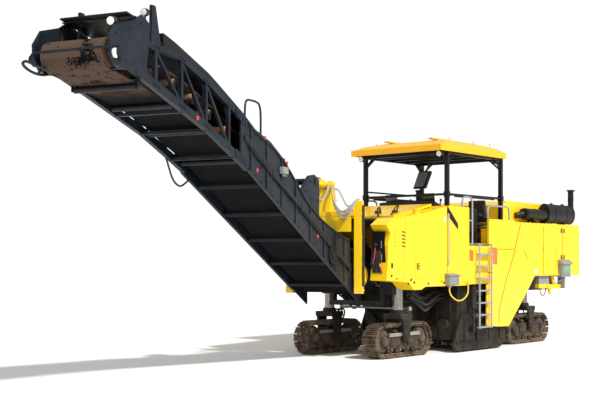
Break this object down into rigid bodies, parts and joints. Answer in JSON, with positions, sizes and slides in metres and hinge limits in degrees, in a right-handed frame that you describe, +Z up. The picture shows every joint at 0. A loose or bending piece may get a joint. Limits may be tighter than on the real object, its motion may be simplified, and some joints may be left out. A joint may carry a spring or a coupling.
{
  "type": "cold planer milling machine",
  "caption": "Large tracked cold planer that mills road surfaces, with a milling drum under the middle, a canopy over the operator's stand and a slewing front discharge conveyor.",
  "frame": {"origin": "centre of the bounding box on the ground under the tracks", "axes": "+X forward to the discharge end, +Y to the machine's left, +Z up"},
  "size_m": [14.5632, 3.8981, 4.6],
  "materials": {
    "yellow": "glossy yellow paint",
    "black": "satin black paint",
    "truss": "satin blue-grey paint",
    "track": "dusty brown steel",
    "chrome": "polished",
    "grey": "galvanised",
    "rubber": "matt",
    "steel": "worn and rusty",
    "seat": "matt black",
    "hose": "yellow hose cover"
  },
  "bodies": {
    "chassis": {"cable_rear_left": "rubber", "canopy_frame": "black", "canopy_roof": "yellow", "console": "black", "control_box_left": "black", "control_box_right": "black", "drum_housing": "black", "engine_block": "black", "exhaust": "black", "front_hood": "yellow", "hose_level_left": "hose", "ladder_left": "grey", "ladder_right": "grey", "level_box_left": "black", "level_box_right": "black", "main_frame": "yellow", "operator_platform": "yellow", "primary_belt": "rubber", "primary_conveyor": "black", "rear_body": "yellow", "seat_left": "seat", "seat_right": "seat", "skirt_left": "yellow", "skirt_right": "yellow", "tank_left": "yellow", "tank_right": "yellow"},
    "leg_fl": {"leg_front_left": "chrome", "track_front_left": "track"},
    "leg_fr": {"leg_front_right": "chrome", "track_front_right": "track"},
    "leg_rl": {"leg_rear_left": "chrome", "track_rear_left": "track"},
    "leg_rr": {"leg_rear_right": "chrome", "track_rear_right": "track"},
    "tie_rod": {"tie_rod_front": "black"},
    "drum": {"milling_drum": "steel"},
    "side_plate_l": {"side_plate_left": "black"},
    "side_plate_r": {"side_plate_right": "black"},
    "gate": {"scraper_gate": "black"},
    "hood": {"engine_hood": "yellow"},
    "door_service_l": {"service_door_left": "yellow"},
    "door_rear_l": {"rear_door_left": "yellow"},
    "door_rear_r": {"rear_door_right": "yellow"},
    "slew": {"slew_console": "yellow", "hose_mast": "grey"},
    "conveyor": {"conveyor_frame": "truss", "conveyor_belt": "rubber", "conveyor_cover": "truss"},
    "head_pulley": {"head_pulley": "steel"},
    "lift_barrel": {"lift_barrel": "yellow"},
    "lift_rod": {"lift_rod": "chrome"}
  },
  "joints": [
    {"name": "steer_front_left", "type": "hinge", "parent": "chassis", "child": "leg_fl", "pos_m": [-1.052, 0.091, 0.76], "axis": [0, 0, 1], "range_deg": [-18, 18]},
    {"name": "steer_front_right", "type": "hinge", "parent": "chassis", "child": "leg_fr", "pos_m": [-1.052, -1.429, 0.76], "axis": [0, 0, 1], "range_deg": [-18, 18]},
    {"name": "steer_rear_left", "type": "hinge", "parent": "chassis", "child": "leg_rl", "pos_m": [-5.512, 0.091, 0.76], "axis": [0, 0, 1], "range_deg": [-18, 18]},
    {"name": "steer_rear_right", "type": "hinge", "parent": "chassis", "child": "leg_rr", "pos_m": [-5.512, -1.429, 0.76], "axis": [0, 0, 1], "range_deg": [-18, 18]},
    {"name": "tie_rod_swing", "type": "hinge", "parent": "leg_fl", "child": "tie_rod", "pos_m": [-1.412, 0.091, 0.76], "axis": [0, 0, 1], "range_deg": [-18, 18]},
    {"name": "drum_spin", "type": "hinge", "parent": "chassis", "child": "drum", "pos_m": [-3.262, -0.669, 0.545], "axis": [0, 1, 0], "continuous": true},
    {"name": "side_plate_l_lift", "type": "slide", "parent": "chassis", "child": "side_plate_l", "axis": [0, 0, 1], "range_m": [0, 0.3]},
    {"name": "side_plate_r_lift", "type": "slide", "parent": "chassis", "child": "side_plate_r", "axis": [0, 0, 1], "range_m": [0, 0.3]},
    {"name": "gate_swing", "type": "hinge", "parent": "chassis", "child": "gate", "pos_m": [-3.982, -0.669, 1.0277], "axis": [0, 1, 0], "range_deg": [0, 28]},
    {"name": "hood_lift", "type": "hinge", "parent": "chassis", "child": "hood", "pos_m": [-6.477, -0.669, 2.4523], "axis": [0, 1, 0], "range_deg": [-50, 0]},
    {"name": "door_service_l_swing", "type": "hinge", "parent": "chassis", "child": "door_service_l", "pos_m": [-1.788, 0.487, 1.56], "axis": [0, 0, 1], "range_deg": [0, 100]},
    {"name": "door_rear_l_swing", "type": "hinge", "parent": "chassis", "child": "door_rear_l", "pos_m": [-5.658, 0.487, 1.88], "axis": [0, 0, 1], "range_deg": [-100, 0]},
    {"name": "door_rear_r_swing", "type": "hinge", "parent": "chassis", "child": "door_rear_r", "pos_m": [-5.658, -1.825, 1.88], "axis": [0, 0, 1], "range_deg": [0, 100]},
    {"name": "conveyor_slew", "type": "hinge", "parent": "chassis", "child": "slew", "pos_m": [-0.096, -0.669, 2.4], "axis": [0, 0, 1], "range_deg": [-58, 20]},
    {"name": "conveyor_tilt", "type": "hinge", "parent": "slew", "child": "conveyor", "pos_m": [0.01912, -0.63512, 1.42], "axis": [-0.2823, 0.9593, 0], "range_deg": [-4, 9]},
    {"name": "head_pulley_spin", "type": "hinge", "parent": "conveyor", "child": "head_pulley", "pos_m": [6.96455, 1.40903, 3.92981], "axis": [-0.2823, 0.9593, 0], "continuous": true},
    {"name": "lift_barrel_swing", "type": "hinge", "parent": "slew", "child": "lift_barrel", "pos_m": [-0.00007, -0.64077, 2.98], "axis": [-0.2823, 0.9593, 0], "range_deg": [-4.1, 8.6]},
    {"name": "lift_rod_slide", "type": "slide", "parent": "lift_barrel", "child": "lift_rod", "axis": [0.9583, 0.282, -0.047], "range_m": [-0.112, 0.247]}
  ],
  "couplings": [
    {"joint": "steer_front_right", "follows": "steer_front_left", "ratio": 1},
    {"joint": "steer_rear_right", "follows": "steer_rear_left", "ratio": 1},
    {"joint": "tie_rod_swing", "follows": "steer_front_left", "ratio": -1},
    {"joint": "lift_barrel_swing", "follows": "conveyor_tilt", "ratio": 0.9159},
    {"joint": "lift_rod_slide", "follows": "conveyor_tilt", "m_per_rad": 1.5497}
  ]
}
